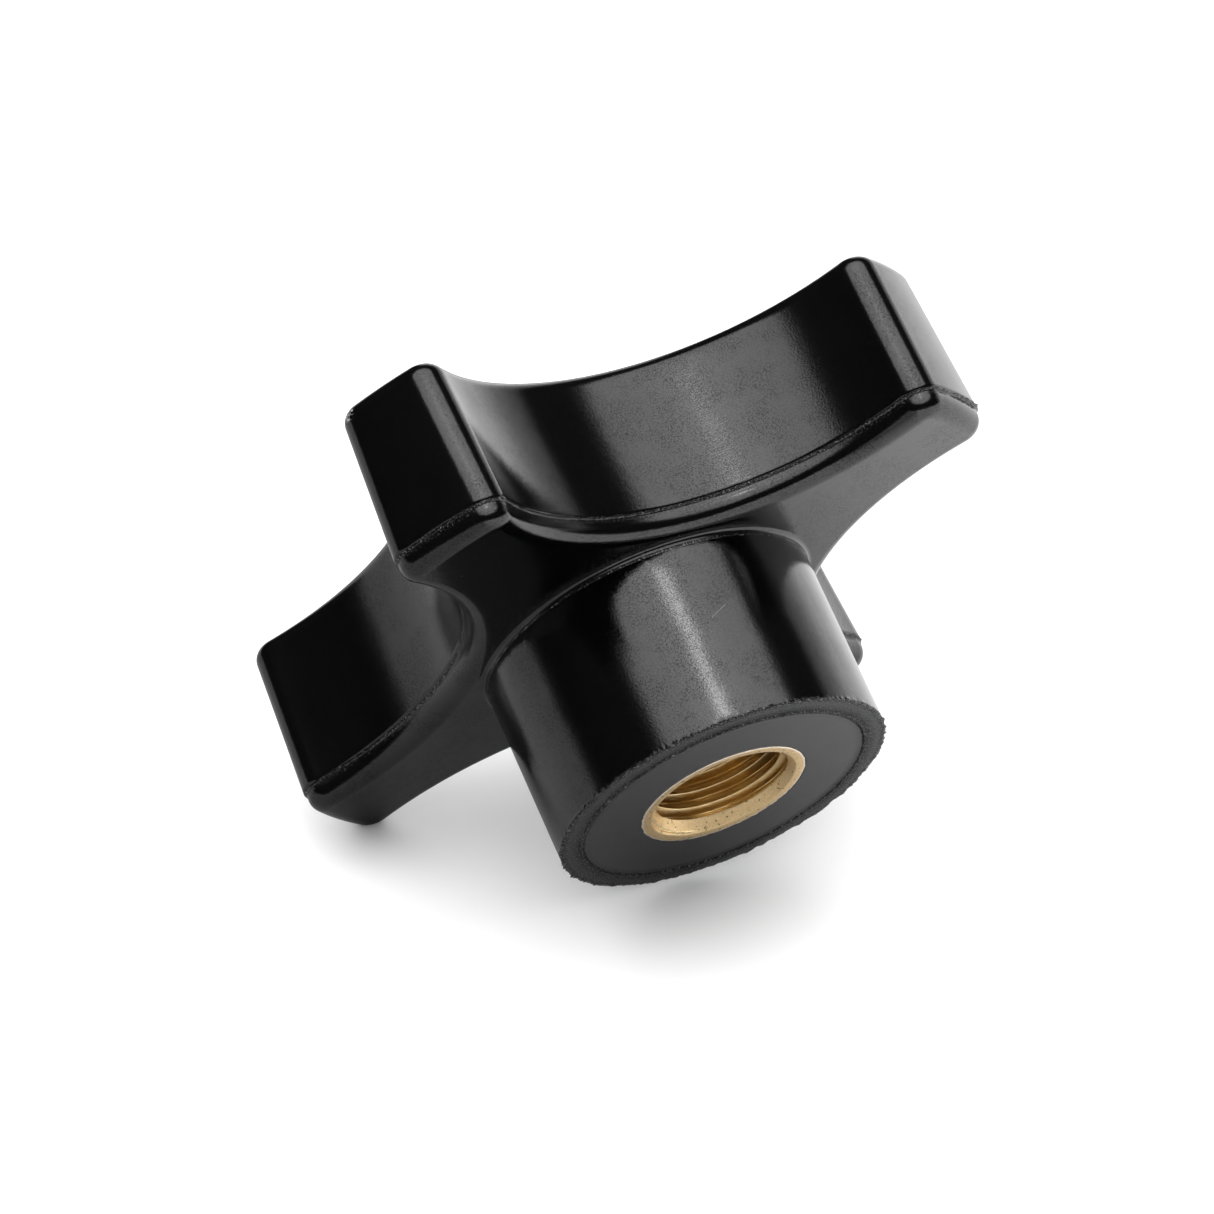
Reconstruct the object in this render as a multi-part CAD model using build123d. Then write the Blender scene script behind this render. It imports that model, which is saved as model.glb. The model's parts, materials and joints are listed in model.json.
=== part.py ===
from build123d import *
from math import isclose, radians, tan
import os

# Four-lobed clamping knob: a moulded grip with a brass bush moulded into its hub.
# Millimetres. The origin is the centre of the hub's end face, and +Z runs up the thread's
# axis into the head, so the knob stands on its hub.

# Head
LOBES = 4
KNOB_DIAMETER = 50.0
TOTAL_HEIGHT = 24.7
UNDERSIDE_HEIGHT = 12.5  # the head's flat underside
PARTING_HEIGHT = 14.0  # where the two halves of the mould met
SCALLOP_RADIUS = 16.8  # concave stretch between two lobes
SCALLOP_DISTANCE = 29.3  # from the knob's axis to the scallop's centre
CORNER_RADIUS = 1.6  # upright corners of the lobes
TOP_EDGE_RADIUS = 1.1
BOTTOM_EDGE_RADIUS = 1.1
DRAFT_ANGLE = 2.5  # degrees, so that the moulding leaves its mould
PARTING_STEP = 0.1  # the lower half of the mould is this much smaller all round

# Hub
HUB_DIAMETER = 21.8
HUB_ROOT_RADIUS = 0.3  # where the hub meets the underside of the head

# Bush, for a 3/8-24 UNF thread
THREAD_MINOR_DIAMETER = 8.48
TAPPED_DEPTH = 15.0
DRILL_POINT_ANGLE = 118.0  # degrees
COUNTERSINK_DIAMETER = 9.7
COUNTERSINK_ANGLE = 75.0  # degrees
NECK_DIAMETER = 10.9
NECK_LENGTH = 1.5
BARREL_DIAMETER = 13.0
BUSH_LENGTH = 18.8
BACK_CHAMFER = 0.5
GROOVE_DIAMETER = 11.0  # the moulding fills this groove and can't pull off the bush
GROOVE_WIDTH = 2.0
GROOVE_HEIGHT = 9.0
KNURL_CUTS = 24  # straight cuts that stop the bush from turning in the moulding
KNURL_DEPTH = 0.5
KNURL_CUT_WIDTH = 0.9

ON_BASE = (Align.CENTER, Align.CENTER, Align.MIN)


def cone_height(large_diameter, small_diameter, full_angle):
    """Height over which a cone of this full angle narrows from one diameter to the other."""
    return (large_diameter - small_diameter) / 2 / tan(radians(full_angle / 2))


def lobed_outline(inset):
    """The head seen along the axis: a disc with four scallops and rounded corners."""
    with BuildSketch() as outline:
        Circle(KNOB_DIAMETER / 2 - inset)
        with PolarLocations(SCALLOP_DISTANCE, LOBES, start_angle=180 / LOBES):
            Circle(SCALLOP_RADIUS + inset, mode=Mode.SUBTRACT)
        fillet(outline.vertices(), CORNER_RADIUS)
    return outline.sketch


def upper_head():
    """The head above the parting plane, drafted inwards to its rounded top edge."""
    with BuildPart() as head:
        with BuildSketch(Plane.XY.offset(PARTING_HEIGHT)):
            add(lobed_outline(inset=0))
        extrude(amount=TOTAL_HEIGHT - PARTING_HEIGHT, taper=DRAFT_ANGLE)
        fillet(head.faces().sort_by(Axis.Z)[-1].edges(), TOP_EDGE_RADIUS)
    return head.part


def lower_head():
    """The shallow lower half of the head, a small step inside the upper one."""
    downwards = Plane.XY.offset(PARTING_HEIGHT).rotated((180, 0, 0))
    with BuildPart() as head:
        with BuildSketch(downwards):
            add(lobed_outline(PARTING_STEP))
        extrude(amount=PARTING_HEIGHT - UNDERSIDE_HEIGHT, taper=DRAFT_ANGLE)
        fillet(head.faces().sort_by(Axis.Z)[0].edges(), BOTTOM_EDGE_RADIUS)
    return head.part


def hub():
    """The round hub, which runs on into the lower half of the head."""
    return Cylinder(HUB_DIAMETER / 2, PARTING_HEIGHT, align=ON_BASE)


def bush_blank():
    """The bush before it is bored: a neck, then a knurled barrel with a locking groove."""
    barrel_radius = BARREL_DIAMETER / 2
    barrel_length = BUSH_LENGTH - NECK_LENGTH
    half_cut = KNURL_CUT_WIDTH / 2
    with BuildPart() as blank:
        Cylinder(NECK_DIAMETER / 2, NECK_LENGTH, align=ON_BASE)
        with Locations((0, 0, NECK_LENGTH)):
            Cylinder(barrel_radius, barrel_length, align=ON_BASE)
        chamfer(blank.edges().sort_by(Axis.Z)[-1], BACK_CHAMFER)
        with BuildSketch(Plane.XY.offset(NECK_LENGTH)):
            with PolarLocations(barrel_radius, KNURL_CUTS):
                Polygon((0, half_cut), (-KNURL_DEPTH, 0), (0, -half_cut),
                        (KNURL_DEPTH, -half_cut), (KNURL_DEPTH, half_cut), align=None)
        extrude(amount=barrel_length, mode=Mode.SUBTRACT)
        with BuildSketch(Plane.XY.offset(GROOVE_HEIGHT - GROOVE_WIDTH / 2)):
            Circle(BARREL_DIAMETER)
            Circle(GROOVE_DIAMETER / 2, mode=Mode.SUBTRACT)
        extrude(amount=GROOVE_WIDTH, mode=Mode.SUBTRACT)
    return blank.part


def tapped_hole():
    """The blind hole: a plain wall at the thread's minor diameter, a drill point and a countersink."""
    minor_radius = THREAD_MINOR_DIAMETER / 2
    point_height = cone_height(THREAD_MINOR_DIAMETER, 0, DRILL_POINT_ANGLE)
    sink_height = cone_height(COUNTERSINK_DIAMETER, THREAD_MINOR_DIAMETER, COUNTERSINK_ANGLE)
    with BuildPart() as hole:
        Cylinder(minor_radius, TAPPED_DEPTH, align=ON_BASE)
        Cone(COUNTERSINK_DIAMETER / 2, minor_radius, sink_height, align=ON_BASE)
        with Locations((0, 0, TAPPED_DEPTH)):
            Cone(minor_radius, 0, point_height, align=ON_BASE)
    return hole.part


def is_hub_root(edge):
    """True for the circle where the hub meets the underside of the head."""
    on_hub = isclose(edge.radius, HUB_DIAMETER / 2, abs_tol=0.01)
    return on_hub and isclose(edge.center().Z, UNDERSIDE_HEIGHT, abs_tol=0.01)


def grip_body():
    """The moulding: head and hub in one piece, formed around the bush."""
    moulding = upper_head() + lower_head() + hub()
    root = moulding.edges().filter_by(GeomType.CIRCLE).filter_by(is_hub_root)
    moulding = fillet(root, HUB_ROOT_RADIUS)
    return moulding - bush_blank()


def threaded_bush():
    """The brass bush, bored and tapped from the hub's end face."""
    return bush_blank() - tapped_hole()


PARTS = {
    "grip_body": grip_body,
    "threaded_bush": threaded_bush,
}

os.makedirs("parts", exist_ok=True)
for name, build in PARTS.items():
    export_step(build(), f"parts/{name}.step")
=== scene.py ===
import json
import math

import bmesh
import bpy
import numpy as np
from mathutils import Matrix, Vector


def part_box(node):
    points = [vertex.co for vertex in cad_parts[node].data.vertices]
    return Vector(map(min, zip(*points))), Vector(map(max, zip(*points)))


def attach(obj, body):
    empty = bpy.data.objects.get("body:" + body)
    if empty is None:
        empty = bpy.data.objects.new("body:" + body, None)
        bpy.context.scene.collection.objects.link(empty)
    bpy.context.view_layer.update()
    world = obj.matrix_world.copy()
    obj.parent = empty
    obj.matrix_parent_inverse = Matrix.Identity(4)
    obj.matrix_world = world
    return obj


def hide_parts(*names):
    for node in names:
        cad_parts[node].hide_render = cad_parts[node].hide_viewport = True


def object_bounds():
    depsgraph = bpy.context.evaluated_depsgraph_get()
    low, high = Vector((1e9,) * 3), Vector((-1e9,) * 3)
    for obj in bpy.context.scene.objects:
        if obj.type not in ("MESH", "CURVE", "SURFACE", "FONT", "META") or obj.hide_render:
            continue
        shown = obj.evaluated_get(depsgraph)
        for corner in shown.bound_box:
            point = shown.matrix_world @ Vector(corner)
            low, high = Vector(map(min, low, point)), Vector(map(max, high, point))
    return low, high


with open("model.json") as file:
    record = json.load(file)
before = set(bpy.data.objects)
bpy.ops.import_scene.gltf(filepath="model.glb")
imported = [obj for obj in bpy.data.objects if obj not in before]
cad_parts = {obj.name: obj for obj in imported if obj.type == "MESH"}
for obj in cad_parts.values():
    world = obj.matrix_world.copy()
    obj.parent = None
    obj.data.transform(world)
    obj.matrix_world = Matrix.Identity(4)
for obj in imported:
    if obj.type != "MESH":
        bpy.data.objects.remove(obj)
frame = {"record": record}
cad_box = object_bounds()

# Both pieces of the knob are rebuilt here, with what the CAD leaves out: the ragged flash of
# the moulding and the bush's helical thread. Sizes are in millimetres, in the same frame as
# the CAD, and become metres when a mesh is made.
MM = 0.001
SEED = 7


def mount_size(name, dimension):
    """A dimension, in millimetres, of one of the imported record's mounts."""
    mount = next(m for m in frame["record"]["mounts"] if m["name"] == name)
    return mount["dims"][dimension]


# Sizes that the frame gives
TOTAL_HEIGHT = cad_box[1].z / MM
BUSH_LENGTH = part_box("threaded_bush")[1].z / MM
MINOR_RADIUS = mount_size("stud_thread", "r_mm")

# Head
KNOB_RADIUS = 25.0
UNDERSIDE_HEIGHT = 12.5
PARTING_HEIGHT = 14.0
SCALLOP_RADIUS = 16.8
SCALLOP_DISTANCE = 29.3
CORNER_RADIUS = 1.6
EDGE_RADIUS = 1.1  # of the top and bottom edges
DRAFT = math.tan(math.radians(2.5))
PARTING_STEP = 0.1  # the lower half of the head is this much smaller all round
SMOOTH_MARGIN = 0.35  # the smooth drafted sides end this far above the parting plane
HEAVY_FLASH_SPREAD = math.radians(15)  # either side of the middle of the +Y lobe
# Rings down the flash: height above the parting plane, and share of the flash's reach
FLASH_PROFILE = ((0.09, -0.6), (0.05, 0.3), (0.015, 1.0), (-0.02, 0.9), (-0.05, -0.2))

# Hub
HUB_RADIUS = 10.9
ROOT_RADIUS = 0.3
# Rings down the trimmed line below the root: depth below the underside, and how proud it is
TRIM_PROFILE = ((0.34, -0.02), (0.38, 0.05), (0.42, 0.04), (0.46, -0.03))
WALL_MARGIN = 0.5  # the hub's smooth wall starts and ends this far from the underside and the end
WITNESS_RADIUS = 9.4  # the line that the mould's sleeve left on the hub's end face
# Rings across the witness line: distance outside its radius, and share of its depth. Shares
# above 0 are cut into the face and those below stand up from it.
WITNESS_PROFILE = (
    (0.24, 0.1), (0.17, 0.5), (0.12, -0.9), (0.06, -0.9), (0.02, 1.0), (-0.04, 1.2),
    (-0.09, -0.4), (-0.14, 0.0),
)

# Bush and its 3/8-24 UNF thread
MAJOR_RADIUS = 9.525 / 2
PITCH = 25.4 / 24
TAPPED_DEPTH = 15.0
DRILL_POINT_HEIGHT = MINOR_RADIUS / math.tan(math.radians(59))
COUNTERSINK_RADIUS = 4.85
COUNTERSINK_SLOPE = math.tan(math.radians(37.5))
NECK_RADIUS = 5.45
NECK_LENGTH = 1.5
BARREL_RADIUS = 6.5
BACK_CHAMFER = 0.5
GROOVE_RADIUS = 5.5
GROOVE_ENDS = (8.0, 10.0)
KNURL_CUTS = 24
KNURL_DEPTH = 0.5
KNURL_CUT_WIDTH = 0.9
THREAD_START = 34.0  # degrees round the bush where a crest meets the hub's end face
CLEARANCE = 0.01  # between the moulding and the bush, so that their surfaces don't coincide

# Points round each piece
HALF_LOBE_POINTS = (18, 26, 100)  # half of a lobe's end, its corner, and half of a scallop
EDGE_RINGS = 9  # round the top and bottom edges
WALL_RINGS = 9  # down the head's sides, and down the hub
GRIP_POINTS = 8 * sum(HALF_LOBE_POINTS)
BUSH_POINTS = 288


# ---------------------------------------------------------------- shape tools

def arc(centre, radius, start, end, count):
    """Points on an arc, without its last one."""
    angles = np.linspace(start, end, count, endpoint=False)
    return np.asarray(centre) + radius * np.column_stack((np.cos(angles), np.sin(angles)))


def half_lobe(inset, corner_radius):
    """The outline from the middle of the +X lobe's end, round its corner, to mid-scallop."""
    end_radius = KNOB_RADIUS - inset
    scallop_radius = SCALLOP_RADIUS + inset
    diagonal = np.array((1.0, 1.0)) / math.sqrt(2)
    across = np.array((1.0, -1.0)) / math.sqrt(2)
    scallop = SCALLOP_DISTANCE * diagonal
    from_axis = end_radius - corner_radius
    from_scallop = scallop_radius + corner_radius
    along = (from_axis**2 - from_scallop**2 + SCALLOP_DISTANCE**2) / (2 * SCALLOP_DISTANCE)
    corner = along * diagonal + math.sqrt(from_axis**2 - along**2) * across
    corner_start = math.atan2(corner[1], corner[0])
    corner_end = math.atan2(scallop[1] - corner[1], scallop[0] - corner[0])
    end_points, corner_points, scallop_points = HALF_LOBE_POINTS
    return np.vstack((
        arc((0, 0), end_radius, 0, corner_start, end_points),
        arc(corner, corner_radius, corner_start, corner_end, corner_points),
        arc(scallop, scallop_radius, corner_end + math.pi, math.radians(225), scallop_points),
    ))


def outline(inset, corner_radius=CORNER_RADIUS):
    """The whole lobed outline, counter-clockwise from the middle of the +X lobe's end."""
    half = half_lobe(inset, corner_radius)
    valley = (SCALLOP_DISTANCE - SCALLOP_RADIUS - inset) / math.sqrt(2)
    mirrored = half[:0:-1, ::-1]
    quarters = [np.vstack((half, [(valley, valley)], mirrored))]
    quarter_turn = np.array(((0, 1), (-1, 0)))
    for _ in range(3):
        quarters.append(quarters[-1] @ quarter_turn)
    return np.vstack(quarters)


def at_height(points, height):
    """Points in the plane, raised to one height or to a height each."""
    return np.column_stack((points, np.broadcast_to(height, len(points))))


def grow(ring, distance):
    """A ring with each point moved outwards, in its plane, by its distance."""
    along = np.roll(ring[:, :2], -1, axis=0) - np.roll(ring[:, :2], 1, axis=0)
    outwards = np.column_stack((along[:, 1], -along[:, 0]))
    outwards /= np.linalg.norm(outwards, axis=1, keepdims=True)
    moved = ring.copy()
    moved[:, :2] += outwards * np.reshape(distance, (-1, 1))
    return moved


def even_angles(count):
    """Angles of points spread evenly round a circle."""
    return np.arange(count) * 2 * math.pi / count


def circle(radius, height, angles):
    """A round ring, whose radius and height may differ from point to point."""
    points = np.column_stack((np.cos(angles), np.sin(angles))) * np.reshape(radius, (-1, 1))
    return at_height(points, height)


def ragged(count, grain, salt):
    """Seeded noise from 0 to 1 round a closed ring, smooth over about grain points."""
    values = np.random.default_rng((SEED, salt)).random(count)
    distance = np.minimum(np.arange(count), count - np.arange(count))
    kernel = np.exp(-0.5 * (distance / grain) ** 2)
    smooth = np.fft.ifft(np.fft.fft(values) * np.fft.fft(kernel)).real
    low, high = np.percentile(smooth, (1, 99))
    return np.clip((smooth - low) / (high - low), 0, 1)


def knurled(angles):
    """The barrel's radius, with its straight V cuts."""
    spacing = 2 * math.pi / KNURL_CUTS
    from_cut = np.abs((angles + spacing / 2) % spacing - spacing / 2) * BARREL_RADIUS
    return BARREL_RADIUS - KNURL_DEPTH * np.clip(1 - from_cut / (KNURL_CUT_WIDTH / 2), 0, 1)


class RingSurface:
    """A closed surface made of rings of points, each joined to the next.

    Every point also carries two finishes from 0 to 1 that its material reads: how matt the
    surface is there, and how torn.
    """

    def __init__(self):
        self.points = []
        self.faces = []
        self.matt = []
        self.torn = []
        self.count = 0
        self.last = None

    def store(self, points, matt, torn):
        """Keeps a block of points and returns the number of its first one."""
        points = np.atleast_2d(np.asarray(points, float))
        start = self.count
        self.points.append(points)
        self.matt.append(np.broadcast_to(matt, len(points)))
        self.torn.append(np.broadcast_to(torn, len(points)))
        self.count += len(points)
        return start

    def add(self, ring, matt=0.0, torn=0.0):
        """Adds a ring and joins it to the one before. A single point starts or ends a surface,
        and the number of points may double or halve from one ring to the next."""
        start = self.store(ring, matt, torn)
        now = range(start, self.count)
        if self.last is not None:
            self.join(self.last, now)
        self.last = now

    def join(self, above, below):
        """Joins two rings. The surface faces outwards where they go down the outside."""
        if len(below) == 1:
            self.faces.extend((a, below[0], b) for a, b in self.steps(above))
        elif len(above) == 1:
            self.faces.extend((above[0], a, b) for a, b in self.steps(below))
        elif len(above) == len(below):
            for (a, b), (c, d) in zip(self.steps(above), self.steps(below)):
                self.faces.append((a, c, d, b))
        elif len(above) == 2 * len(below):
            for (a, b), (c, d) in zip(self.steps(above[::2]), self.steps(below)):
                self.faces.extend(((a, c, a + 1), (c, d, a + 1), (d, b, a + 1)))
        else:
            for (a, b), (c, d) in zip(self.steps(above), self.steps(below[::2])):
                self.faces.extend(((c, c + 1, a), (c + 1, b, a), (c + 1, d, b)))

    @staticmethod
    def steps(ring):
        """Each point of a ring with the point after it, all the way round."""
        return [(ring[i], ring[(i + 1) % len(ring)]) for i in range(len(ring))]

    def add_helix(self, rows, turn_rows, matt):
        """Adds rows of points that wind round as a screw: the end of each row joins the start
        of the row a whole turn further on."""
        count = len(rows[0])
        start = self.store(np.vstack(rows), np.concatenate(matt), 0.0)
        for row in range(len(rows) - 1):
            for i in range(count):
                j, ahead = (i + 1, row) if i + 1 < count else (0, row + turn_rows)
                if ahead + 1 < len(rows):
                    here = start + row * count
                    there = start + ahead * count
                    self.faces.append((here + i, here + count + i, there + count + j, there + j))
        self.last = None

    def make(self, name, material):
        """The Blender object, in metres, smooth shaded, riding on the knob's only body."""
        mesh = bpy.data.meshes.new(name)
        mesh.from_pydata(np.vstack(self.points) * MM, [], self.faces)
        for label, values in (("matt", self.matt), ("torn", self.torn)):
            attribute = mesh.attributes.new(label, "FLOAT", "POINT")
            attribute.data.foreach_set("value", np.concatenate(values).astype(np.float32))
        mesh.shade_smooth()
        mesh.materials.append(material)
        piece = bpy.data.objects.new(name, mesh)
        bpy.context.scene.collection.objects.link(piece)
        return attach(piece, "root")


def weld(piece, distance=0.0002 * MM):
    """Merges points in the same place, which also removes the faces between them."""
    shape = bmesh.new()
    shape.from_mesh(piece.data)
    bmesh.ops.remove_doubles(shape, verts=shape.verts, dist=distance)
    shape.to_mesh(piece.data)
    shape.free()


# ---------------------------------------------------------------- grip

def edge_angles(steps):
    """Angles of the rings round a rounded edge: a quarter of a turn, with both ends."""
    return np.linspace(0, math.pi / 2, steps)


def thinned(ring, rounds):
    """The ring with every second point left out, this many times."""
    return ring[:: 2**rounds]


def add_top(surface):
    """The flat top, from its centre out, with its rounded edge and the drafted sides."""
    side_top = TOTAL_HEIGHT - EDGE_RADIUS
    inset = DRAFT * (side_top - PARTING_HEIGHT)
    edge = outline(inset + EDGE_RADIUS, CORNER_RADIUS - EDGE_RADIUS)
    surface.add((0, 0, TOTAL_HEIGHT))
    way_out = (0.15, 0.35, 0.6, 0.82, 0.94, 0.99)
    for rounds, scale in zip(range(5, -1, -1), way_out):
        surface.add(at_height(thinned(edge, rounds) * scale, TOTAL_HEIGHT))
    for angle in edge_angles(EDGE_RINGS):
        come_in = EDGE_RADIUS * (1 - math.sin(angle))
        height = side_top + EDGE_RADIUS * math.cos(angle)
        surface.add(at_height(outline(inset + come_in, CORNER_RADIUS - come_in), height))
    for height in np.linspace(side_top, PARTING_HEIGHT + SMOOTH_MARGIN, WALL_RINGS)[1:]:
        surface.add(at_height(outline(DRAFT * (height - PARTING_HEIGHT)), height))


def add_parting_line(surface):
    """The thin ragged ridge where the mould's two halves met, proud of the head's sides."""
    coarse = ragged(GRIP_POINTS, 60, salt=1) ** 2
    fine = ragged(GRIP_POINTS, 1.0, salt=2)
    waver = 0.04 * (ragged(GRIP_POINTS, 6, salt=3) - 0.5)
    side = outline(0.0)
    from_lobe = np.arctan2(side[:, 0], side[:, 1])
    heavy = np.exp(-((from_lobe / HEAVY_FLASH_SPREAD) ** 2))
    light_flash = 0.03 * fine + 0.05 * coarse + 0.12 * fine * coarse
    reach = light_flash + (0.06 + 0.16 * fine) * heavy
    surface.add(at_height(outline(DRAFT * 0.12), PARTING_HEIGHT + 0.12))
    for number, (rise, share) in enumerate(FLASH_PROFILE):
        nibble = 0.04 * (ragged(GRIP_POINTS, 0.8, salt=10 + number) - 0.5)
        ring = at_height(outline(PARTING_STEP / 2), PARTING_HEIGHT + rise + waver)
        surface.add(grow(ring, reach * share + nibble), torn=1.0)
    ring = at_height(outline(PARTING_STEP), PARTING_HEIGHT - 0.08 + waver)
    surface.add(grow(ring, 0.03 * (fine - 0.5)), torn=0.6)


def add_lower_band(surface):
    """The shallow lower half of the head, down to its flat underside."""
    band_top = PARTING_HEIGHT - 0.16
    band_foot = UNDERSIDE_HEIGHT + EDGE_RADIUS
    dents = ragged(GRIP_POINTS, 9, salt=20)
    for height, dent in ((band_top, 0.03), ((band_top + band_foot) / 2, 0.02)):
        ring = at_height(outline(PARTING_STEP), height)
        surface.add(grow(ring, -dent * dents), torn=0.3)
    for angle in edge_angles(EDGE_RINGS):
        come_in = EDGE_RADIUS * (1 - math.cos(angle))
        height = band_foot - EDGE_RADIUS * math.sin(angle)
        surface.add(at_height(outline(PARTING_STEP + come_in, CORNER_RADIUS - come_in), height))


def add_hub_root(surface, polar):
    """The underside round the hub, the hub's root and the trimmed line just below it."""
    come_in = EDGE_RADIUS + 0.04
    inner = outline(PARTING_STEP + come_in, CORNER_RADIUS - come_in)
    surface.add(at_height(inner, UNDERSIDE_HEIGHT))
    surface.add(circle(HUB_RADIUS + ROOT_RADIUS + 0.06, UNDERSIDE_HEIGHT, polar))
    for angle in edge_angles(5):
        radius = HUB_RADIUS + ROOT_RADIUS * (1 - math.sin(angle))
        height = UNDERSIDE_HEIGHT - ROOT_RADIUS * (1 - math.cos(angle))
        surface.add(circle(radius, height, polar), torn=0.1)
    crumbs = ragged(GRIP_POINTS, 1.2, salt=30) * ragged(GRIP_POINTS, 15, salt=31)
    for depth, proud in TRIM_PROFILE:
        radius = HUB_RADIUS + proud * (0.1 + crumbs)
        surface.add(circle(radius, UNDERSIDE_HEIGHT - depth, polar), torn=1.0)


def add_hub_wall(surface, polar, even):
    """The hub's wall, on which the points spread out until they are evenly spaced."""
    spread_over = 6.0
    for height in np.linspace(UNDERSIDE_HEIGHT - WALL_MARGIN, WALL_MARGIN, WALL_RINGS):
        share = min((UNDERSIDE_HEIGHT - height) / spread_over, 1)
        surface.add(circle(HUB_RADIUS, height, polar + (even - polar) * share))


def add_hub_edge(surface, even):
    """The hub's end edge, nibbled where its flash broke off."""
    chips = ragged(GRIP_POINTS, 3.5, salt=40) * (0.3 + 0.7 * ragged(GRIP_POINTS, 30, salt=41))
    fine = ragged(GRIP_POINTS, 1.2, salt=42)
    for height, share in ((0.3, 0.0), (0.18, 0.3), (0.09, 0.75)):
        radius = HUB_RADIUS + share * (0.08 * fine - 0.16 * chips + 0.02)
        surface.add(circle(radius, height, even), torn=share)
    radius = HUB_RADIUS + 0.18 * fine - 0.22 * chips
    surface.add(circle(radius, 0.02 + 0.08 * chips, even), torn=1.0)
    radius = HUB_RADIUS - 0.10 - 0.35 * chips
    surface.add(circle(radius, 0.06 * chips * fine, even), matt=1.0, torn=1.0)
    surface.add(circle(HUB_RADIUS - 0.5, 0, even), matt=1.0, torn=0.5)


def add_witness_line(surface, even):
    """The rough line of the mould's sleeve on the end face: a groove between raised lips."""
    coarse = ragged(GRIP_POINTS, 25, salt=50)
    fine = ragged(GRIP_POINTS, 1.5, salt=51)
    depth = 0.07 + 0.12 * coarse * fine
    wander = 0.06 * (coarse - 0.5)
    for across, share in WITNESS_PROFILE:
        radius = WITNESS_RADIUS + across + wander
        surface.add(circle(radius, share * depth, even), matt=1.0, torn=1.0 if share else 0.0)


def add_end_face(surface, even):
    """The matt end face of the hub, between its edge and the bush."""
    add_witness_line(surface, even)
    for radius in (WITNESS_RADIUS - 0.6, 7.5, 6.0, NECK_RADIUS + 0.2, NECK_RADIUS + CLEARANCE):
        surface.add(circle(radius, 0, even), matt=1.0)


def add_cavity(surface, even):
    """The hidden hollow that the bush fills."""
    angles = thinned(even, 1)
    knurl = knurled(angles) + CLEARANCE
    groove = GROOVE_RADIUS + CLEARANCE
    neck = NECK_RADIUS + CLEARANCE
    lower, upper = GROOVE_ENDS
    back = BUSH_LENGTH + CLEARANCE
    for radius, height in (
        (neck, 0.05), (neck, NECK_LENGTH), (knurl, NECK_LENGTH), (knurl, lower), (groove, lower),
        (groove, upper), (knurl, upper), (knurl, back - BACK_CHAMFER), (knurl - BACK_CHAMFER, back),
    ):
        surface.add(circle(radius, height, angles), matt=1.0)
    for rounds in range(2, 6):
        radius = (BARREL_RADIUS - 1) * (1 - rounds / 6)
        surface.add(circle(radius, back, thinned(even, rounds)), matt=1.0)
    surface.add((0, 0, back), matt=1.0)


def make_grip(material):
    """The moulding, as one surface from the middle of its top to the hollow round the bush."""
    inner = outline(PARTING_STEP + EDGE_RADIUS, CORNER_RADIUS - EDGE_RADIUS)
    polar = np.unwrap(np.arctan2(inner[:, 1], inner[:, 0]))
    even = even_angles(GRIP_POINTS)
    surface = RingSurface()
    add_top(surface)
    add_parting_line(surface)
    add_lower_band(surface)
    add_hub_root(surface, polar)
    add_hub_wall(surface, polar, even)
    add_hub_edge(surface, even)
    add_end_face(surface, even)
    add_cavity(surface, even)
    piece = surface.make("grip", material)
    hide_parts("grip_body")


# ---------------------------------------------------------------- bush

def thread_phases():
    """Where the rows of points lie in one turn of thread, in pitches from the middle of a crest."""
    half = np.array((0.0, 0.05, 0.1, 0.125, 0.15, 0.22, 0.3, 0.38, 0.42, 0.4375))
    return np.concatenate((half, [0.5], 1 - half[:0:-1]))


def thread_depth(phase):
    """How far the thread is cut into the bore at a phase, from 0 on a crest to 1 at a root.

    In pitches, the crest's flat is a quarter wide and the root's flat an eighth.
    """
    from_crest = np.abs((phase + 0.5) % 1 - 0.5)
    flank_start, flank_end = 1 / 8, 7 / 16
    return np.clip((from_crest - flank_start) / (flank_end - flank_start), 0, 1)


def add_bush_outside(surface, angles):
    """The hidden outside: the back, the knurled barrel with its groove, and the neck."""
    knurl = knurled(angles)
    lower, upper = GROOVE_ENDS
    surface.add((0, 0, BUSH_LENGTH))
    for rounds in (3, 2, 1):
        radius = (BARREL_RADIUS - 1) * (1 - rounds / 4)
        surface.add(circle(radius, BUSH_LENGTH, thinned(angles, rounds)))
    for radius, height in (
        (knurl - BACK_CHAMFER, BUSH_LENGTH), (knurl, BUSH_LENGTH - BACK_CHAMFER), (knurl, upper),
        (GROOVE_RADIUS, upper), (GROOVE_RADIUS, lower), (knurl, lower), (knurl, NECK_LENGTH),
        (NECK_RADIUS, NECK_LENGTH), (NECK_RADIUS, 0.05),
    ):
        surface.add(circle(radius, height, angles))


def add_bush_face(surface, angles):
    """The narrow face round the countersink, smeared raggedly over the plastic beside it."""
    smear = 0.14 * ragged(BUSH_POINTS, 0.7, salt=60) * (0.2 + ragged(BUSH_POINTS, 12, salt=61))
    for radius, height, share in (
        (NECK_RADIUS, 0.01, 0.6), (NECK_RADIUS, -0.012, 1.0), (NECK_RADIUS - 0.03, -0.04, 0.7),
    ):
        surface.add(circle(radius + share * smear, height, angles), matt=1.0, torn=0.8)
    surface.add(circle(NECK_RADIUS - 0.12, -0.03, angles), matt=1.0)
    surface.add(circle(COUNTERSINK_RADIUS + 0.04, -0.02, angles), matt=1.0)


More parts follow.
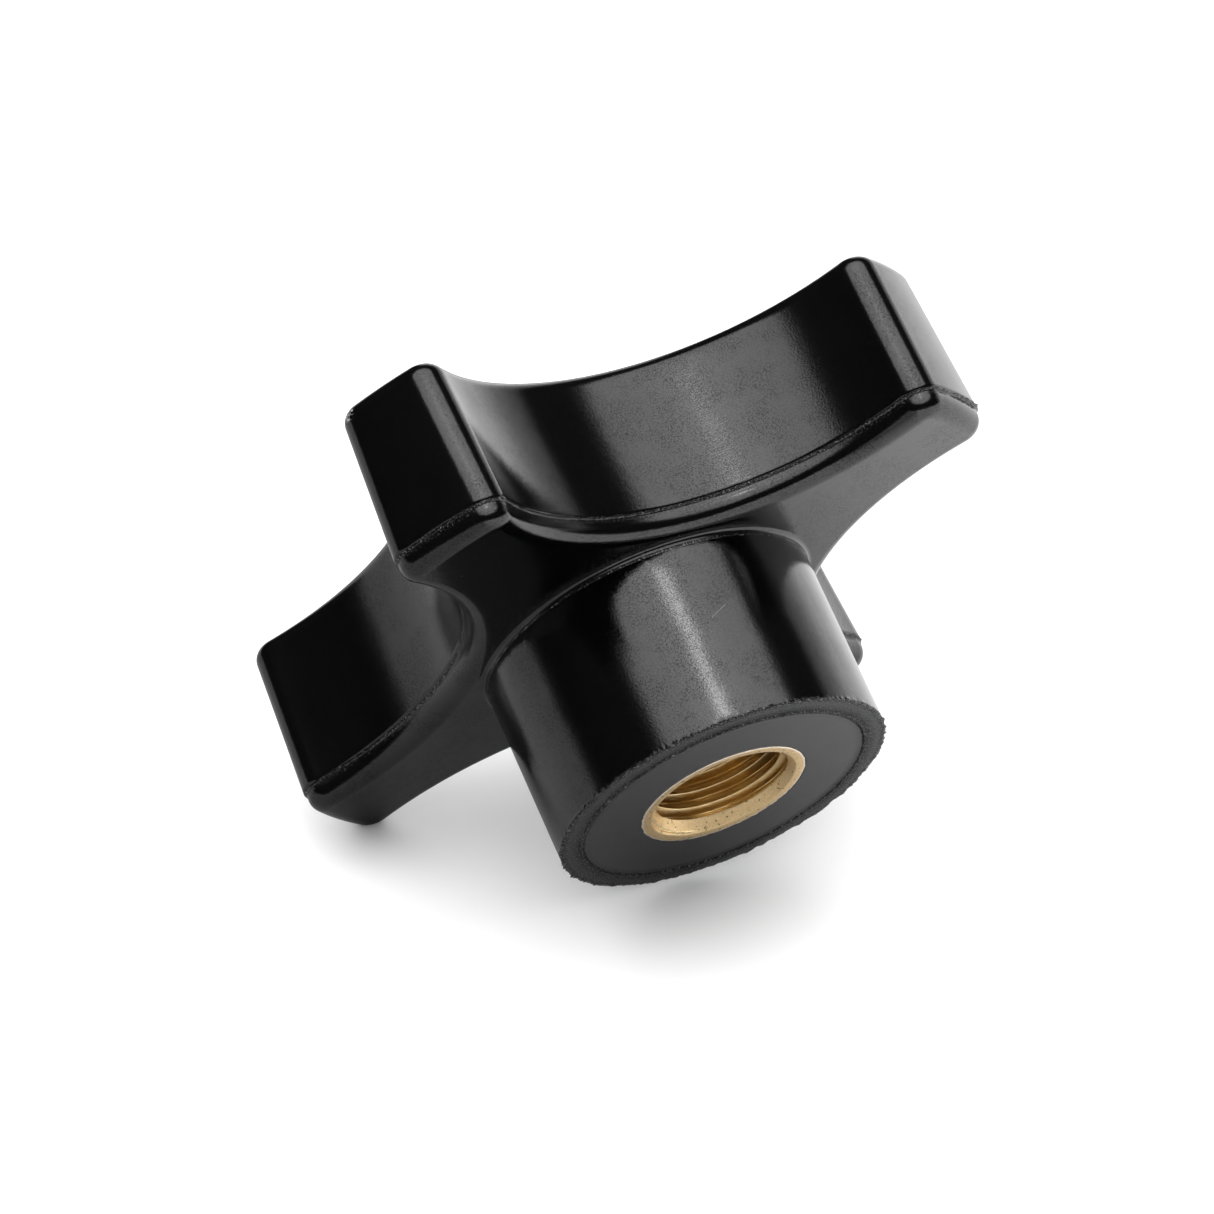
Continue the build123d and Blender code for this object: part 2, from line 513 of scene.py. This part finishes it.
def add_bore(surface, angles):
    """The countersink and the tapped hole, wound as one screw surface, and the drill point."""
    phases = thread_phases()
    turn_share = (angles - math.radians(THREAD_START)) / (2 * math.pi)
    rows, matt = [], []
    for turn in range(-1, math.ceil(TAPPED_DEPTH / PITCH) + 2):
        for phase in phases:
            height = np.clip((turn + phase + turn_share) * PITCH, 0, TAPPED_DEPTH)
            run_out = np.clip((TAPPED_DEPTH - height) / PITCH, 0, 1)
            depth = thread_depth(height / PITCH - turn_share) * run_out
            threaded = MINOR_RADIUS + (MAJOR_RADIUS - MINOR_RADIUS) * depth
            countersunk = COUNTERSINK_RADIUS - COUNTERSINK_SLOPE * height
            rows.append(circle(np.maximum(threaded, countersunk), height, angles))
            matt.append((countersunk >= threaded).astype(float))
    surface.add(circle(COUNTERSINK_RADIUS, 0, angles), matt=1.0)
    surface.add_helix(rows, len(phases), matt)
    surface.add(circle(MINOR_RADIUS, TAPPED_DEPTH, angles))
    for rounds in (1, 2, 3):
        share = rounds / 4
        height = TAPPED_DEPTH + DRILL_POINT_HEIGHT * share
        surface.add(circle(MINOR_RADIUS * (1 - share), height, thinned(angles, rounds)))
    surface.add((0, 0, TAPPED_DEPTH + DRILL_POINT_HEIGHT))


def make_bush(material):
    """The brass bush, as one closed surface."""
    angles = even_angles(BUSH_POINTS)
    surface = RingSurface()
    add_bush_outside(surface, angles)
    add_bush_face(surface, angles)
    add_bore(surface, angles)
    piece = surface.make("bush", material)
    weld(piece)
    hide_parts("threaded_bush")


# ---------------------------------------------------------------- material tools

class Graph:
    """Builds one tree of shader nodes, with short calls for what is used most."""

    def __init__(self, tree):
        tree.nodes.clear()
        self.tree = tree

    def add(self, kind, inputs=None, **settings):
        """A new node, its inputs set to plain values or linked to other nodes' outputs."""
        node = self.tree.nodes.new("ShaderNode" + kind)
        for name, value in settings.items():
            setattr(node, name, value)
        for name, value in (inputs or {}).items():
            if isinstance(value, bpy.types.NodeSocket):
                self.tree.links.new(value, node.inputs[name])
            else:
                node.inputs[name].default_value = value
        return node

    def math(self, operation, a, b=0.0):
        return self.add("Math", {0: a, 1: b}, operation=operation).outputs[0]

    def most(self, value, *others):
        """The largest of several values."""
        for other in others:
            value = self.math("MAXIMUM", value, other)
        return value

    def band(self, value, start, end):
        """1 between two edges and 0 outside them. An edge is where its fade starts and ends."""
        return self.math("MULTIPLY", self.fade(value, *start), self.fade(value, *end, 1.0, 0.0))

    def dot(self, a, b):
        return self.add("VectorMath", {0: a, 1: b}, operation="DOT_PRODUCT").outputs["Value"]

    def scaled(self, vector, factors):
        """A vector with each of its parts multiplied by a factor."""
        return self.add("VectorMath", {0: vector, 1: factors}, operation="MULTIPLY").outputs[0]

    def fade(self, value, low, high, to_low=0.0, to_high=1.0):
        """Goes smoothly from to_low to to_high as the value goes from low to high."""
        inputs = {
            "Value": value, "From Min": low, "From Max": high, "To Min": to_low, "To Max": to_high,
        }
        return self.add("MapRange", inputs, interpolation_type="SMOOTHSTEP").outputs["Result"]

    def mix(self, share, a, b):
        """A number between a and b."""
        return self.add("Mix", {0: share, 2: a, 3: b}, data_type="FLOAT").outputs[0]

    def mix_color(self, share, a, b):
        """A colour between a and b."""
        return self.add("Mix", {0: share, 6: a, 7: b}, data_type="RGBA").outputs[2]

    def noise(self, vector, scale, detail=2.0, roughness=0.5, distortion=0.0):
        inputs = {
            "Vector": vector, "Scale": scale, "Detail": detail,
            "Roughness": roughness, "Distortion": distortion,
        }
        return self.add("TexNoise", inputs).outputs["Fac"]

    def bump(self, height, strength, depth, normal=None):
        """A bump as deep, in millimetres, as the height from 0 to 1 times the depth."""
        inputs = {"Height": height, "Strength": strength, "Distance": depth * MM}
        if normal is not None:
            inputs["Normal"] = normal
        return self.add("Bump", inputs).outputs[0]

    def profile(self, value, stops):
        """A value from 0 to 1 looked up on a smooth line through (position, height) stops."""
        ramp = self.add("ValToRGB", {"Fac": value})
        ramp.color_ramp.interpolation = "EASE"
        elements = ramp.color_ramp.elements
        while len(elements) < len(stops):
            elements.new(0.5)
        for element, (position, height) in zip(elements, stops):
            element.position = position
            element.color = (height, height, height, 1)
        return ramp.outputs["Color"]

    def attribute(self, name):
        return self.add("Attribute", attribute_name=name).outputs["Fac"]


def new_material(name):
    """A material and the graph that fills its node tree."""
    material = bpy.data.materials.new(name)
    material.use_nodes = True
    return material, Graph(material.node_tree)


def millimetres(graph):
    """Object coordinates in millimetres, so that a noise's scale is in features per millimetre."""
    return graph.scaled(graph.add("TexCoord").outputs["Object"], (1000, 1000, 1000))


# ---------------------------------------------------------------- moulding material

POLISHED_ROUGHNESS = (0.07, 0.13)
MATT_ROUGHNESS = 0.33  # added where the surface is matt
TORN_ROUGHNESS = 0.15  # added where it is torn
FULL_GLOSS = 0.6
PIT_GLOSS = 0.12
POLISHED_BLACK = (0.0008, 0.0008, 0.001, 1)
MATT_BLACK = (0.010, 0.0102, 0.0108, 1)
# Tone of the torn flash, also used as painted shade in the end face's grooves
TORN_BLACK_AND_PAINTED_SHADE = (0.004, 0.004, 0.004, 1)
# Pale grey for dust, a scratch and chips, and for painted highlights on the flash
MARK_AND_PAINTED_GLINT_GREY = (0.35, 0.35, 0.35, 1)

# A hairline scratch on the hub, from one end to the other, and a knocked corner of a lobe's top
HAIRLINE = ((8.13, 7.26, 6.85), (7.33, 8.07, 7.45))
CHIPPED_CORNER = (24.3, -2.6, 24.1)


def pitting(graph, place, scale, size):
    """Round pits of a size in millimetres, in some of the cells of a Voronoi texture."""
    cells = graph.add("TexVoronoi", {"Vector": place, "Scale": scale}).outputs
    chosen = graph.add("SeparateColor", {"Color": cells["Color"]}).outputs[0]
    pit = graph.fade(cells["Distance"], size * scale * 0.5, size * scale, 1.0, 0.0)
    return graph.math("MULTIPLY", pit, graph.math("GREATER_THAN", chosen, 0.6))


def hairline(graph, place, start, end):
    """A very thin straight scratch between two points."""
    along = Vector(end) - Vector(start)
    from_start = graph.add("VectorMath", {0: place, 1: start}, operation="SUBTRACT").outputs[0]
    share = graph.math("DIVIDE", graph.dot(from_start, along), along.length_squared)
    share = graph.add("Clamp", {"Value": share}).outputs[0]
    nearest = graph.add("VectorMath", {0: along, "Scale": share}, operation="SCALE").outputs[0]
    away = graph.add("VectorMath", {0: from_start, 1: nearest}, operation="DISTANCE")
    return graph.fade(away.outputs["Value"], 0.01, 0.03, 0.35, 0.0)


def chipping(graph, place, centre):
    """A few fine curved cracks within half a millimetre of a point."""
    away = graph.add("VectorMath", {0: place, 1: centre}, operation="DISTANCE").outputs["Value"]
    level = graph.math("ABSOLUTE", graph.math("SUBTRACT", graph.noise(place, 3.5, detail=1), 0.5))
    cracks = graph.fade(level, 0.015, 0.035, 1.0, 0.0)
    return graph.math("MULTIPLY", cracks, graph.fade(away, 0.35, 0.6, 1.0, 0.0))


def moulding_relief(graph, place, matt, torn, smooth, crumbs):
    """Slow waves and fine grain all over, polishing marks on the sides, crumbs on the flash."""
    waves = graph.noise(place, 1.2, detail=2)
    grain = graph.noise(place, 8.0, detail=2, roughness=0.6)
    flattened = graph.scaled(place, (0.6, 0.6, 8))
    polishing = graph.noise(flattened, 1.0, detail=4, roughness=0.7, distortion=0.4)
    crumbling = graph.math("MULTIPLY", torn, 0.9)
    crumbling = graph.math("ADD", crumbling, graph.math("MULTIPLY", matt, 0.15))
    relief = graph.bump(waves, 1.0, 0.005)
    relief = graph.bump(grain, graph.mix(smooth, 0.5, 1.0), 0.006, relief)
    relief = graph.bump(polishing, smooth, 0.004, relief)
    return graph.bump(crumbs, crumbling, 0.03, relief)


def moulding_gloss(graph, place, torn, smooth, clouds, crumbs):
    """How strongly the surface shines: less in its pores and pits and between its crumbs."""
    pores = graph.fade(graph.noise(place, 11.0, detail=2, roughness=0.6), 0.38, 0.56, 0.6, 0.0)
    pores = graph.math("MULTIPLY", pores, graph.fade(clouds, 0.35, 0.6, 0.35, 1.1))
    pores = graph.math("MULTIPLY", pores, smooth)
    pits = graph.math("MULTIPLY", pitting(graph, place, 4.0, 0.05), graph.fade(clouds, 0.45, 0.6))
    large_pits = pitting(graph, place, 1.1, 0.06)
    gaps = graph.math("MULTIPLY", torn, graph.fade(crumbs, 0.42, 0.58, 1.0, 0.2))
    return graph.mix(graph.most(pores, pits, large_pits, gaps), FULL_GLOSS, PIT_GLOSS)


def marks_and_painted_glints(graph, place, torn, crumbs):
    """Pale marks: dust, one hairline scratch and one chipped corner, and painted glints on the
    flash.
    """
    dust = graph.math("MULTIPLY", pitting(graph, place, 0.33, 0.05), 0.5)
    # Painted glints: pale specks on the flash's crumbs stand in for its highlights
    painted_glints = graph.math("MULTIPLY", torn, graph.fade(crumbs, 0.56, 0.64, 0.0, 0.35))
    scratch = hairline(graph, place, *HAIRLINE)
    return graph.most(dust, painted_glints, scratch, chipping(graph, place, CHIPPED_CORNER))


def moulding_material():
    """Black phenolic: polished sides with faint swirls and pits, torn flash with painted glints,
    painted shade along the end face's torn lines, a matt end face.
    """
    material, graph = new_material("black phenolic")
    place = millimetres(graph)
    matt = graph.attribute("matt")
    torn = graph.attribute("torn")
    smooth = graph.math("SUBTRACT", 1.0, graph.most(matt, torn))
    clouds = graph.noise(place, 0.35, detail=3, roughness=0.6)
    crumbs = graph.noise(place, 9.0, detail=3, roughness=0.7)

    roughness = graph.mix(clouds, *POLISHED_ROUGHNESS)
    roughness = graph.math("ADD", roughness, graph.math("MULTIPLY", matt, MATT_ROUGHNESS))
    roughness = graph.math("ADD", roughness, graph.math("MULTIPLY", torn, TORN_ROUGHNESS))
    shade = graph.mix_color(matt, POLISHED_BLACK, MATT_BLACK)
    # Partly painted shade: on the matt end face this darkens the torn edge, the witness line and
    # the ring beside them, as if shade lay in their grooves; on polished sides it is the flash's
    # own tone
    shade = graph.mix_color(graph.math("MULTIPLY", torn, 0.5), shade, TORN_BLACK_AND_PAINTED_SHADE)
    shade = graph.mix_color(marks_and_painted_glints(graph, place, torn, crumbs), shade, MARK_AND_PAINTED_GLINT_GREY)
    surface = graph.add("BsdfPrincipled", {
        "Base Color": shade,
        "Roughness": roughness,
        "IOR": 1.55,
        "Specular IOR Level": moulding_gloss(graph, place, torn, smooth, clouds, crumbs),
        "Normal": moulding_relief(graph, place, matt, torn, smooth, crumbs),
    })
    graph.add("OutputMaterial", {"Surface": surface.outputs[0]})
    return material


# ---------------------------------------------------------------- brass material

# Two tones each, which the blotches mix, and roughness in the same way
SATIN_BRASS = ((0.86, 0.60, 0.30, 1), (0.98, 0.76, 0.44, 1))
THREAD_BRASS = ((0.96, 0.68, 0.32, 1), (1.0, 0.80, 0.46, 1))
SATIN_ROUGHNESS = (0.34, 0.46)
THREAD_ROUGHNESS = (0.16, 0.28)
MOTTLE_BROWN = (0.62, 0.42, 0.20, 1)
SPECK_BROWN = (0.16, 0.09, 0.035, 1)
SMEARED_BRASS = (1.0, 0.93, 0.86, 1)
BOUNCE_GREY = (0.3, 0.3, 0.3, 1)  # for light on its way to the floor, which it would tint


def brass_relief(graph, place, matt, torn, grain):
    """Tool marks that run round the axis, and a grain that is strongest on the satin faces."""
    height = graph.add("SeparateXYZ", {"Vector": place}).outputs[2]
    flat = graph.scaled(place, (1, 1, 0))
    radius = graph.add("VectorMath", {0: flat}, operation="LENGTH").outputs["Value"]
    turned = graph.add("CombineXYZ", {0: radius, 1: height}).outputs[0]
    tool_marks = graph.noise(turned, 25.0, detail=3, roughness=0.8)
    relief = graph.bump(tool_marks, 0.35, 0.01)
    relief = graph.bump(grain, graph.mix(matt, 0.3, 1.0), 0.02, relief)
    return graph.bump(grain, torn, 0.03, relief)


def brass_shade(graph, place, matt, torn, blotches):
    """Golden in the thread, paler and speckled on the satin faces, palest where it is smeared."""
    mottle = graph.fade(graph.noise(place, 9.0, detail=2), 0.35, 0.65, 0.0, 0.35)
    specks = graph.fade(graph.noise(place, 4.0, detail=1), 0.66, 0.70, 0.0, 0.75)
    golden = graph.mix_color(blotches, *THREAD_BRASS)
    satin = graph.mix_color(blotches, *SATIN_BRASS)
    shade = graph.mix_color(matt, golden, satin)
    shade = graph.mix_color(graph.math("MULTIPLY", mottle, matt), shade, MOTTLE_BROWN)
    shade = graph.mix_color(graph.math("MULTIPLY", specks, matt), shade, SPECK_BROWN)
    shade = graph.mix_color(torn, shade, SMEARED_BRASS)
    return graph.mix_color(graph.add("LightPath").outputs["Is Diffuse Ray"], shade, BOUNCE_GREY)


def brass_material():
    """Brass: satin and speckled on the countersink, with tool marks; polished in the thread."""
    material, graph = new_material("turned brass")
    place = millimetres(graph)
    matt = graph.attribute("matt")
    torn = graph.attribute("torn")
    grain = graph.noise(place, 8.0, detail=3, roughness=0.7)
    blotches = graph.noise(place, 1.6, detail=3, roughness=0.6)
    polished = graph.mix(blotches, *THREAD_ROUGHNESS)
    satin = graph.mix(blotches, *SATIN_ROUGHNESS)
    surface = graph.add("BsdfPrincipled", {
        "Base Color": brass_shade(graph, place, matt, torn, blotches),
        "Metallic": 1.0,
        "Roughness": graph.mix(matt, polished, satin),
        "Normal": brass_relief(graph, place, matt, torn, grain),
    })
    graph.add("OutputMaterial", {"Surface": surface.outputs[0]})
    return material


# ---------------------------------------------------------------- studio

# The knob lies on the floor on three points: the hub's rim and a corner of each of two lobes.
FLOOR_GAP = 0.1  # leaves room for the flash
FLOOR_SIZE = 6000.0
FLOOR_ALBEDO = 0.9
# The floor's albedo as the knob reflects it, to its left and to its right, and the strip between
# them, in millimetres to the right of where the hub touches it. Both are below the floor's own
# albedo, the left one far below: painted shade on the floor, which only reflections see.
LEFT_SHADED_REFLECTION_ALBEDO = 0.31
RIGHT_SHADED_REFLECTION_ALBEDO = 0.82
SHADED_REFLECTION_CHANGE = (-15.0, 35.0)

# Camera, from the middle of the knob
CAMERA_AZIMUTH = math.radians(21.2815)
CAMERA_ELEVATION = math.radians(-23.0408)
CAMERA_ROLL = math.radians(24.4534)
CAMERA_DISTANCE = 512.36
CAMERA_LENS = 242.98
AIM_OFFSET = Vector((1.437, -1.358, 1.990))


def camera_axes():
    """The camera's right and up directions, and the direction from the knob to the camera."""
    level = math.cos(CAMERA_ELEVATION)
    back = Vector((
        math.cos(CAMERA_AZIMUTH) * level,
        math.sin(CAMERA_AZIMUTH) * level,
        math.sin(CAMERA_ELEVATION),
    ))
    side = Vector((0, 0, 1)).cross(back).normalized()
    plumb = back.cross(side)
    up = math.cos(CAMERA_ROLL) * plumb + math.sin(CAMERA_ROLL) * side
    return up.cross(back), up, back


def place_camera():
    """The camera, at the photograph's viewing angle."""
    right, up, back = camera_axes()
    middle = Vector((0, 0, TOTAL_HEIGHT / 2))
    data = bpy.data.cameras.new("camera")
    data.lens = CAMERA_LENS
    data.sensor_width = 36
    data.clip_start, data.clip_end = 0.01, 100
    camera = bpy.data.objects.new("camera", data)
    place = middle + AIM_OFFSET + CAMERA_DISTANCE * back
    turn = Matrix((right, up, back)).transposed().to_4x4()
    camera.matrix_world = Matrix.Translation(place * MM) @ turn
    bpy.context.scene.collection.objects.link(camera)
    bpy.context.scene.camera = camera


def floor_axes():
    """The floor's right, front and up directions, and a point on it."""
    lean = Vector((-1, -1, 0)).normalized()
    reach = (outline(0.0) @ np.array(lean[:2])).max()
    hub_contact = lean * HUB_RADIUS
    lobe_contact = lean * reach + Vector((0, 0, PARTING_HEIGHT))
    level = Vector((1, -1, 0)).normalized()
    up = (lobe_contact - hub_contact).cross(level).normalized()
    right, _, _ = camera_axes()
    right = (right - right.dot(up) * up).normalized()
    front = right.cross(up)
    return right, front, up, hub_contact - FLOOR_GAP * up


def place_floor(material):
    """A wide plain floor under the knob, as the knob lies on it."""
    right, front, up, origin = floor_axes()
    half = FLOOR_SIZE / 2
    ways = ((1, 1), (1, -1), (-1, -1), (-1, 1))
    corners = [(origin + half * (x * right + y * front)) * MM for x, y in ways]
    mesh = bpy.data.meshes.new("floor")
    mesh.from_pydata(corners, [], [(0, 1, 2, 3)])
    if mesh.polygons[0].normal.dot(up) < 0:
        mesh.flip_normals()
    mesh.materials.append(material)
    floor = bpy.data.objects.new("floor", mesh)
    bpy.context.scene.collection.objects.link(floor)


def floor_material():
    """White, one-sided, and darker on the left where the knob reflects it: painted shade that only
    reflections see.
    """
    right, _, _, origin = floor_axes()
    material, graph = new_material("white floor")
    geometry = graph.add("NewGeometry").outputs
    path = graph.add("LightPath").outputs
    place = graph.add("VectorMath", {0: geometry["Position"], 1: origin * MM}, operation="SUBTRACT")
    rightwards = graph.math("DIVIDE", graph.dot(place.outputs[0], right), MM)
    # Painted shade: glossy rays see the floor darker than it is, most on its left
    painted_shade_in_reflections = graph.fade(
        rightwards, *SHADED_REFLECTION_CHANGE, LEFT_SHADED_REFLECTION_ALBEDO, RIGHT_SHADED_REFLECTION_ALBEDO,
    )
    albedo = graph.mix(path["Is Glossy Ray"], FLOOR_ALBEDO, painted_shade_in_reflections)
    diffuse = graph.add("BsdfDiffuse", {"Color": albedo})
    clear = graph.add("BsdfTransparent")
    one_sided = graph.add(
        "MixShader", {0: geometry["Backfacing"], 1: diffuse.outputs[0], 2: clear.outputs[0]},
    )
    graph.add("OutputMaterial", {"Surface": one_sided.outputs[0]})
    return material


# Light that falls on the floor: from high overhead, from half-way up in front, from low down
# behind, and in the two lower zones from the sides too. The zones meet where the sine of the
# elevation is in these ranges.
OVERHEAD_LIGHT = 2.45
FRONT_LIGHT = 0.5
SIDE_LIGHT = 1.1
BACK_LIGHT = 15.0
LOW_ZONE_END = (0.1, 0.5)
HIGH_ZONE_START = (0.5, 0.95)

# Overhead softbox, and its brightness as a share of its peak, by degrees from its middle
SOFTBOX_DIRECTION = (0.06, 0.175, 0.98)  # to the right, to the front and up
SOFTBOX_PEAK = 14.0
SOFTBOX_PROFILE = (
    (0.0, 1.0), (2.0, 0.75), (5.0, 0.25), (12.0, 0.20), (24.0, 0.17), (33.0, 0.155), (40.0, 0.13),
    (43.0, 0.012), (50.0, 0.004), (90.0, 0.002),
)

# Bright backdrop behind the knob, in degrees to the right of straight behind, and the dim glow
# along the horizon, weaker on the left. Their heights are sines of the elevation.
BACKDROP_LEFT_EDGE = (-12.0, -4.0)
BACKDROP_RIGHT_EDGE = (55.0, 85.0)
BACKDROP_RISE = (-0.1, 0.42)
BACKDROP_GLOW = (1.9, 0.5)  # at the bottom and at the top of that rise
BACKDROP_TOP_EDGE = (0.36, 0.44)
HORIZON_RISE = (-0.05, 0.15)
HORIZON_GLOW = 0.32
HORIZON_LEFT_EDGE = (-60.0, -20.0)
HORIZON_LEFT_SHARE = 0.3


def daylight(graph, rise, azimuth):
    """The light that falls on the floor, which leaves only small soft shadows on it."""
    low = graph.fade(rise, *LOW_ZONE_END, 1.0, 0.0)
    high = graph.fade(rise, *HIGH_ZONE_START)
    middle = graph.math("SUBTRACT", graph.math("SUBTRACT", 1.0, low), high)
    backwards = graph.math("COSINE", azimuth)
    behind = graph.math("POWER", graph.math("MAXIMUM", backwards, 0.0), 2.0)
    before = graph.math("POWER", graph.math("MINIMUM", backwards, 0.0), 2.0)
    low = graph.math("MULTIPLY", low, graph.mix(behind, SIDE_LIGHT, BACK_LIGHT))
    middle = graph.math("MULTIPLY", middle, graph.mix(before, SIDE_LIGHT, FRONT_LIGHT))
    high = graph.math("MULTIPLY", high, OVERHEAD_LIGHT)
    return graph.math("ADD", low, graph.math("ADD", middle, high))


def softbox_light(graph, direction, right, front, up):
    """The round softbox overhead, which makes the bright stripes on the hub and the scallops."""
    rightwards, frontwards, upwards = SOFTBOX_DIRECTION
    middle = (rightwards * right + frontwards * front + upwards * up).normalized()
    off_middle = graph.math("ARCCOSINE", graph.dot(direction, middle))
    stops = [(degrees / 180, share) for degrees, share in SOFTBOX_PROFILE]
    softbox = graph.profile(graph.math("DIVIDE", off_middle, math.pi), stops)
    return graph.math("MULTIPLY", softbox, SOFTBOX_PEAK)


def backdrop_light(graph, rise, azimuth):
    """The backdrop and the horizon, which the upright sides reflect."""
    bearing = graph.math("DEGREES", azimuth)
    glow = graph.band(bearing, BACKDROP_LEFT_EDGE, BACKDROP_RIGHT_EDGE)
    glow = graph.math("MULTIPLY", glow, graph.fade(rise, *BACKDROP_RISE, *BACKDROP_GLOW))
    glow = graph.math("MULTIPLY", glow, graph.fade(rise, *BACKDROP_TOP_EDGE, 1.0, 0.0))
    horizon = graph.fade(rise, *HORIZON_RISE, HORIZON_GLOW, 0.0)
    on_left = graph.fade(bearing, *HORIZON_LEFT_EDGE, HORIZON_LEFT_SHARE, 1.0)
    return graph.most(glow, graph.math("MULTIPLY", horizon, on_left))


def studio_world():
    """A dark studio with a round softbox overhead and a bright backdrop behind, to the right."""
    right, front, up, _ = floor_axes()
    world = bpy.data.worlds.new("studio")
    world.use_nodes = True
    world.cycles.sampling_method = "NONE"
    bpy.context.scene.world = world
    graph = Graph(world.node_tree)
    direction = graph.add("TexCoord").outputs["Generated"]
    path = graph.add("LightPath").outputs
    rise = graph.dot(direction, up)
    azimuth = graph.math("ARCTAN2", graph.dot(direction, right), graph.dot(direction, -front))

    softbox = softbox_light(graph, direction, right, front, up)
    light = graph.math("ADD", softbox, backdrop_light(graph, rise, azimuth))
    light = graph.mix(path["Is Diffuse Ray"], light, daylight(graph, rise, azimuth))
    light = graph.mix(path["Is Camera Ray"], light, 1.0)
    background = graph.add("Background", {"Color": (1, 1, 1, 1), "Strength": light})
    graph.add("OutputWorld", {"Surface": background.outputs[0]})


# ---------------------------------------------------------------- scene

bpy.context.scene.view_settings.view_transform = "Standard"
make_grip(moulding_material())
make_bush(brass_material())
place_floor(floor_material())
studio_world()
place_camera()
